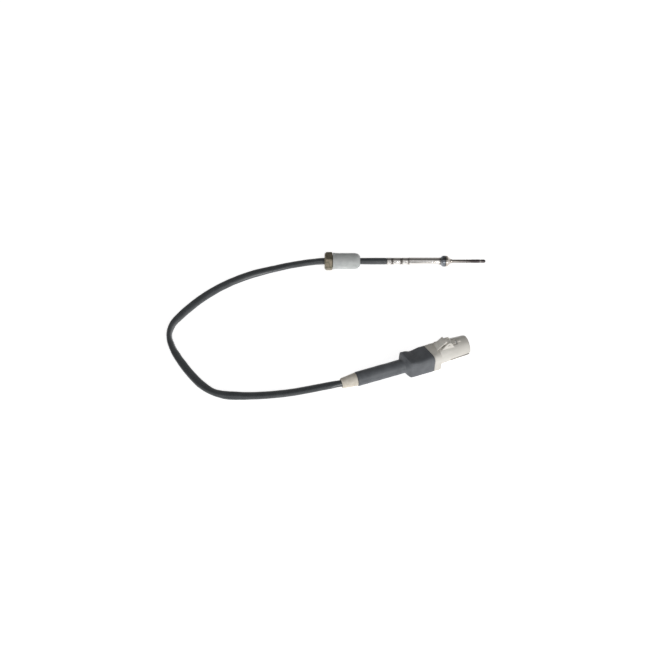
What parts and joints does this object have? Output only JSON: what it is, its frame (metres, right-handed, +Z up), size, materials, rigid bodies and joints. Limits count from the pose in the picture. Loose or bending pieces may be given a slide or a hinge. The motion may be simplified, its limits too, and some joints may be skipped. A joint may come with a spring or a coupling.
{
  "type": "flame sensor probe",
  "caption": "Metal-sheathed sensing probe with a conical stop collar, a sliding union nut under a plastic thread cap, a sleeved lead and a latching round plug.",
  "frame": {"origin": "under the middle of the probe group (nut to tip), on the surface that the part lies on", "axes": "+X along the probe axis towards the sensing tip, +Z up; the lead and its plug lie on the -Y side"},
  "size_m": [0.3108, 0.1737, 0.0311],
  "materials": {
    "tinted_steel": "heat-tinted, satin",
    "sheath_steel": "drawn, satin",
    "bright_steel": "bright turned and drawn steel, light heat tint at the edges",
    "yellow_zinc": "yellow-passivated plating with olive and brown tones",
    "black_sleeve": "satin charcoal sleeve",
    "black_shrink": "shrunk sleeve, satin",
    "black_rubber": "matte",
    "cap_plastic": "translucent milky grey polyethylene",
    "cream_rubber": "cream, satin",
    "grey_plastic": "warm light grey moulding",
    "insert_plastic": "grey moulding",
    "seal_rubber": "red-brown silicone",
    "tinned_terminal": "tinned",
    "nickel_wire": "drawn wire",
    "white_ceramic": "fired, matte",
    "mineral_fill": "packed mineral powder",
    "white_insulation": "extruded insulation",
    "brown_insulation": "extruded insulation"
  },
  "bodies": {
    "probe": {"tip_capsule": "tinted_steel", "sheath": "sheath_steel", "seat_collar": "bright_steel", "front_tube": "bright_steel", "crimp_tube": "bright_steel", "sensing_element": "white_ceramic", "mineral_core": "mineral_fill", "splice_sleeve": "white_ceramic", "cable_grommet": "seal_rubber", "core_wire_a": "nickel_wire", "core_wire_b": "nickel_wire", "splice_a": "tinned_terminal", "splice_b": "tinned_terminal", "conductor_a": "white_insulation", "conductor_b": "brown_insulation", "lead_cable": "black_sleeve", "cable_boot": "cream_rubber", "heat_shrink": "black_shrink", "plug_housing": "grey_plastic", "terminal_lock": "insert_plastic", "mouth_seal": "seal_rubber", "terminal_pin_a": "tinned_terminal", "terminal_pin_b": "tinned_terminal", "wire_seal_a": "seal_rubber", "wire_seal_b": "seal_rubber", "plug_wire_a": "white_insulation", "plug_wire_b": "brown_insulation"},
    "keeper": {"keeper_ring": "black_rubber"},
    "nut": {"union_nut": "yellow_zinc"},
    "cap": {"thread_cap": "cap_plastic"},
    "latch": {"latch_lever": "grey_plastic"}
  },
  "joints": [
    {"name": "nut_slide", "type": "slide", "parent": "probe", "child": "keeper", "axis": [1, 0, 0], "range_m": [0, 0.0545]},
    {"name": "nut_spin", "type": "hinge", "parent": "keeper", "child": "nut", "pos_m": [-0.0765, 0, 0.0085], "axis": [1, 0, 0], "continuous": true},
    {"name": "cap_slide", "type": "slide", "parent": "nut", "child": "cap", "axis": [1, 0, 0], "range_m": [0, 0.0255]},
    {"name": "latch_press", "type": "hinge", "parent": "probe", "child": "latch", "pos_m": [0.03225, -0.11673, 0.026], "axis": [0.3289, -0.9444, 0], "range_deg": [0, 4.5], "stiffness_Nm_per_rad": 0.3}
  ]
}
